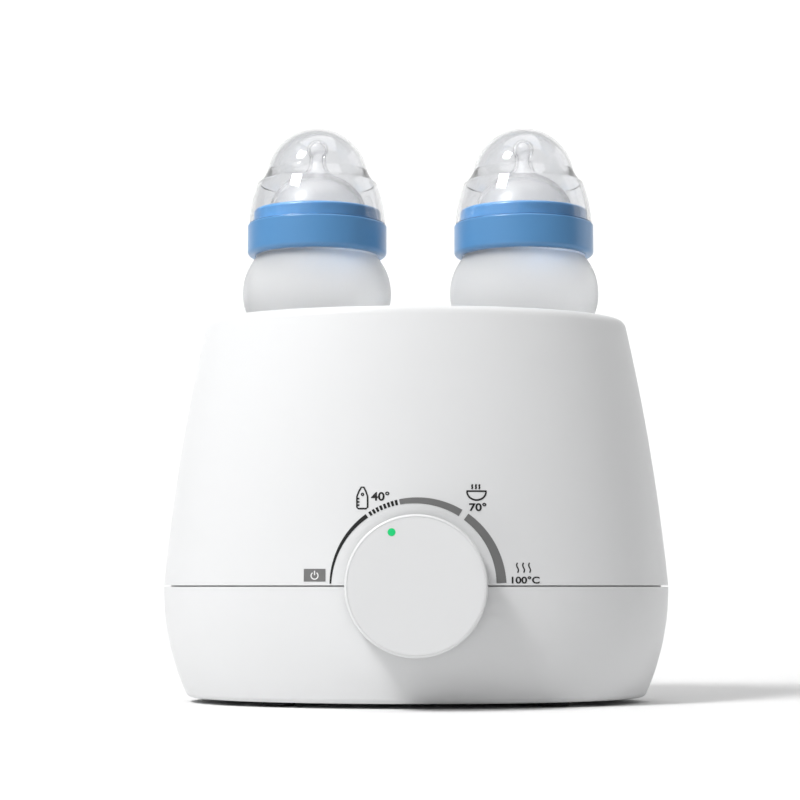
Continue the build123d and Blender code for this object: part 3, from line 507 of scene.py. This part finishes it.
scale_band("print_scale_high", *SCALE_HIGH)


# ---------------------------------------------------------------- floor, light and camera
def floor_and_wall():
    """A pale seamless sweep: floor, curve and back wall in one sheet."""
    steps, under = 12, 0.2 * MM
    profile = [(-SWEEP_HALF_WIDTH, 0.0), (SWEEP_DEPTH, 0.0)]
    for step in range(1, steps + 1):
        turn = math.radians(90 * step / steps)
        y = SWEEP_DEPTH + SWEEP_CURVE * math.sin(turn)
        profile.append((y, SWEEP_CURVE * (1 - math.cos(turn))))
    profile.append((SWEEP_DEPTH + SWEEP_CURVE, SWEEP_HEIGHT))
    vertices = [(side * SWEEP_HALF_WIDTH, y, z - under) for y, z in profile for side in (-1, 1)]
    faces = [(i, i + 1, i + 3, i + 2) for i in range(0, 2 * len(profile) - 2, 2)]
    mesh = bpy.data.meshes.new("sweep")
    mesh.from_pydata(vertices, [], faces)
    for polygon in mesh.polygons:
        polygon.use_smooth = True
    n = Nodes("sweep")
    n.set(Base_Color=(SWEEP_GREY, SWEEP_GREY, SWEEP_GREY, 1), Roughness=0.85, Specular_IOR_Level=0.1)
    mesh.materials.append(n.material)
    sweep = bpy.data.objects.new("sweep", mesh)
    bpy.context.scene.collection.objects.link(sweep)


floor_and_wall()


def softbox(name, azimuth, elevation, distance, size, watts):
    """A rectangular area light aimed at the object; azimuth is counted to the right of the camera."""
    turn, rise = math.radians(azimuth), math.radians(elevation)
    target = Vector((0, AXIS_Y, AIM_HEIGHT))
    away = Vector((math.sin(turn) * math.cos(rise), -math.cos(turn) * math.cos(rise), math.sin(rise)))
    panel(name, target + away * distance, target, size, watts)


def panel(name, place, target, size, watts):
    """A rectangular area light at a place, aimed at a point."""
    light = bpy.data.lights.new(name, "AREA")
    light.shape = "RECTANGLE"
    light.size, light.size_y = size
    light.energy = watts
    lamp = bpy.data.objects.new(name, light)
    lamp.location = place
    lamp.rotation_euler = (Vector(target) - Vector(place)).to_track_quat("-Z", "Y").to_euler()
    bpy.context.scene.collection.objects.link(lamp)


for name, settings in SOFTBOXES.items():
    softbox(name, *settings)
panel("wall_light", WALL_LIGHT_PLACE, WALL_LIGHT_AIM, WALL_LIGHT_SIZE, WALL_LIGHT_POWER)

world = bpy.data.worlds.new("studio")
bpy.context.scene.world = world
world.use_nodes = True
background = world.node_tree.nodes["Background"]
background.inputs["Color"].default_value = (1.0, 1.0, 1.0, 1)
background.inputs["Strength"].default_value = WORLD_STRENGTH

scene = bpy.context.scene
scene.view_settings.view_transform = "Standard"
scene.view_settings.look = "None"
scene.view_settings.exposure = 0.0

camera_data = bpy.data.cameras.new("camera")
camera_data.lens = LENS
camera_data.sensor_width = SENSOR_WIDTH
camera = bpy.data.objects.new("camera", camera_data)
camera.location = (0, AXIS_Y - DISTANCE, SEAM_Z)
camera.rotation_euler = (math.radians(90 + LOOK_UP), 0, math.radians(LOOK_LEFT))
scene.collection.objects.link(camera)
scene.camera = camera
